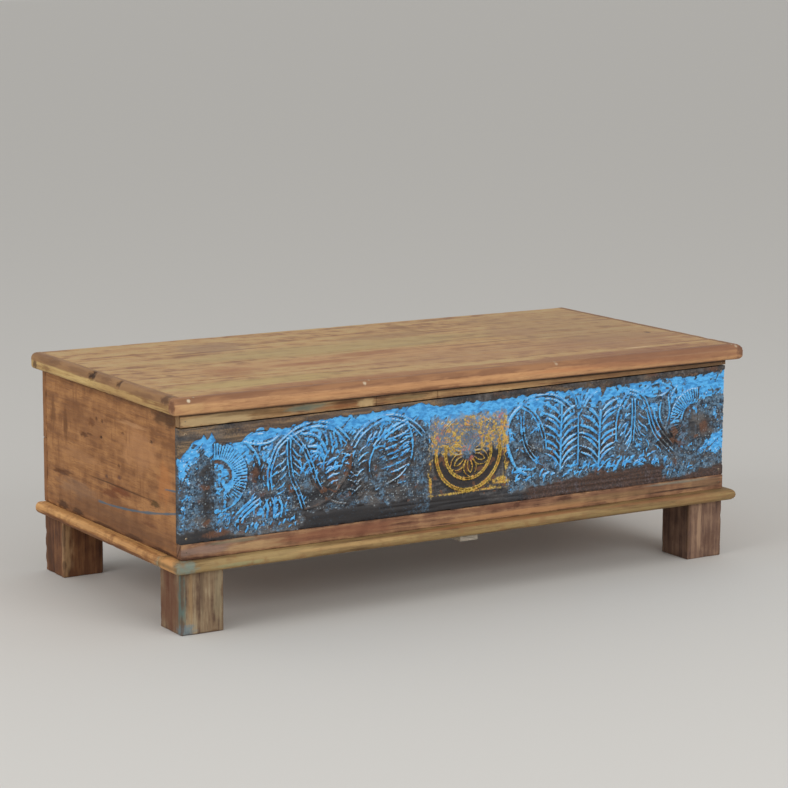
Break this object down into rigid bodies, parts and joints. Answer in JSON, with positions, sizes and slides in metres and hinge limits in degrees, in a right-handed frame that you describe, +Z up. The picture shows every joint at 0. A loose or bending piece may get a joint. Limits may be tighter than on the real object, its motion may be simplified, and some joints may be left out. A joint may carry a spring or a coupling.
{
  "type": "wooden storage trunk",
  "caption": "Low trunk of reclaimed wood with a carved, blue-painted front, a hinged plank lid held by folding stays, a moulded base frame and block legs.",
  "frame": {"origin": "on the floor under the middle of the whole trunk", "axes": "+X along the trunk to the right of someone who faces its carved front, +Y to the back, +Z up"},
  "size_m": [1.19, 0.5774, 0.406],
  "materials": {
    "lid_wood": "worn, waxed old teak, olive brown",
    "batten_wood": "bare sawn wood",
    "rail_wood": "worn old teak with traces of paint",
    "carved_painted_wood": "dark old wood with distressed sky-blue paint",
    "side_wood": "waxed orange-brown old board",
    "base_wood": "waxed yellow-tan wood",
    "leg_wood": "old beam offcuts with teal paint traces",
    "inner_wood": "bare sawn wood",
    "forged_iron": "black forged iron, rubbed",
    "nail_iron": "dull square nails"
  },
  "bodies": {
    "body": {"front_top_rail_left": "rail_wood", "front_top_rail_middle": "rail_wood", "front_top_rail_right": "rail_wood", "front_lower_rail": "rail_wood", "carved_front_panel": "carved_painted_wood", "side_board_left": "side_wood", "side_board_right": "side_wood", "back_board_lower": "side_wood", "back_board_upper": "side_wood", "base_frame_front": "base_wood", "base_frame_back": "base_wood", "base_frame_left": "base_wood", "base_frame_right": "base_wood", "leg_front_left": "leg_wood", "leg_front_right": "leg_wood", "leg_back_left": "leg_wood", "leg_back_right": "leg_wood", "bottom_board_1": "inner_wood", "bottom_board_2": "inner_wood", "bottom_board_3": "inner_wood", "bottom_board_4": "inner_wood", "bottom_stretcher": "inner_wood", "corner_post_front_left": "inner_wood", "corner_post_front_right": "inner_wood", "corner_post_back_left": "inner_wood", "corner_post_back_right": "inner_wood", "hinge_body_leaf_left": "forged_iron", "hinge_body_leaf_right": "forged_iron", "hinge_pins": "forged_iron", "stay_wall_plate_left": "forged_iron", "stay_wall_plate_right": "forged_iron", "stay_wall_rivets": "forged_iron", "carcass_nails": "nail_iron", "body_hardware_nails": "nail_iron"},
    "lid": {"lid_board_1": "lid_wood", "lid_board_2": "lid_wood", "lid_board_3": "lid_wood", "lid_board_4": "lid_wood", "lid_lipping_front": "lid_wood", "lid_lipping_back": "lid_wood", "lid_lipping_left": "lid_wood", "lid_lipping_right": "lid_wood", "lid_batten_left": "batten_wood", "lid_batten_centre": "batten_wood", "lid_batten_right": "batten_wood", "hinge_lid_leaf_left": "forged_iron", "hinge_lid_leaf_right": "forged_iron", "lid_nails": "nail_iron", "lid_batten_nails": "nail_iron", "lid_hardware_nails": "nail_iron", "stay_lid_bracket_left": "forged_iron", "stay_lid_bracket_right": "forged_iron", "stay_lid_rivets": "forged_iron"},
    "stay_lower_left": {"stay_lower_arm_left": "forged_iron", "stay_elbow_rivet_left": "forged_iron"},
    "stay_upper_left": {"stay_upper_arm_left": "forged_iron"},
    "stay_lower_right": {"stay_lower_arm_right": "forged_iron", "stay_elbow_rivet_right": "forged_iron"},
    "stay_upper_right": {"stay_upper_arm_right": "forged_iron"}
  },
  "joints": [
    {"name": "lid_hinge", "type": "hinge", "parent": "body", "child": "lid", "pos_m": [0, 0.28425, 0.377], "axis": [-1, 0, 0], "range_deg": [0, 100]},
    {"name": "stay_lower_pivot_left", "type": "hinge", "parent": "body", "child": "stay_lower_left", "pos_m": [-0.5483, 0.18925, 0.177], "axis": [-1, 0, 0], "range_deg": [0, 100]},
    {"name": "stay_upper_pivot_left", "type": "hinge", "parent": "lid", "child": "stay_upper_left", "pos_m": [-0.5451, 0.07425, 0.363], "axis": [-1, 0, 0], "range_deg": [-100, 0]},
    {"name": "stay_lower_pivot_right", "type": "hinge", "parent": "body", "child": "stay_lower_right", "pos_m": [0.5483, 0.18925, 0.177], "axis": [-1, 0, 0], "range_deg": [0, 100]},
    {"name": "stay_upper_pivot_right", "type": "hinge", "parent": "lid", "child": "stay_upper_right", "pos_m": [0.5451, 0.07425, 0.363], "axis": [-1, 0, 0], "range_deg": [-100, 0]}
  ],
  "couplings": [
    {"joint": "stay_lower_pivot_left", "follows": "lid_hinge", "ratio": 1},
    {"joint": "stay_upper_pivot_left", "follows": "lid_hinge", "ratio": -1},
    {"joint": "stay_lower_pivot_right", "follows": "lid_hinge", "ratio": 1},
    {"joint": "stay_upper_pivot_right", "follows": "lid_hinge", "ratio": -1}
  ]
}
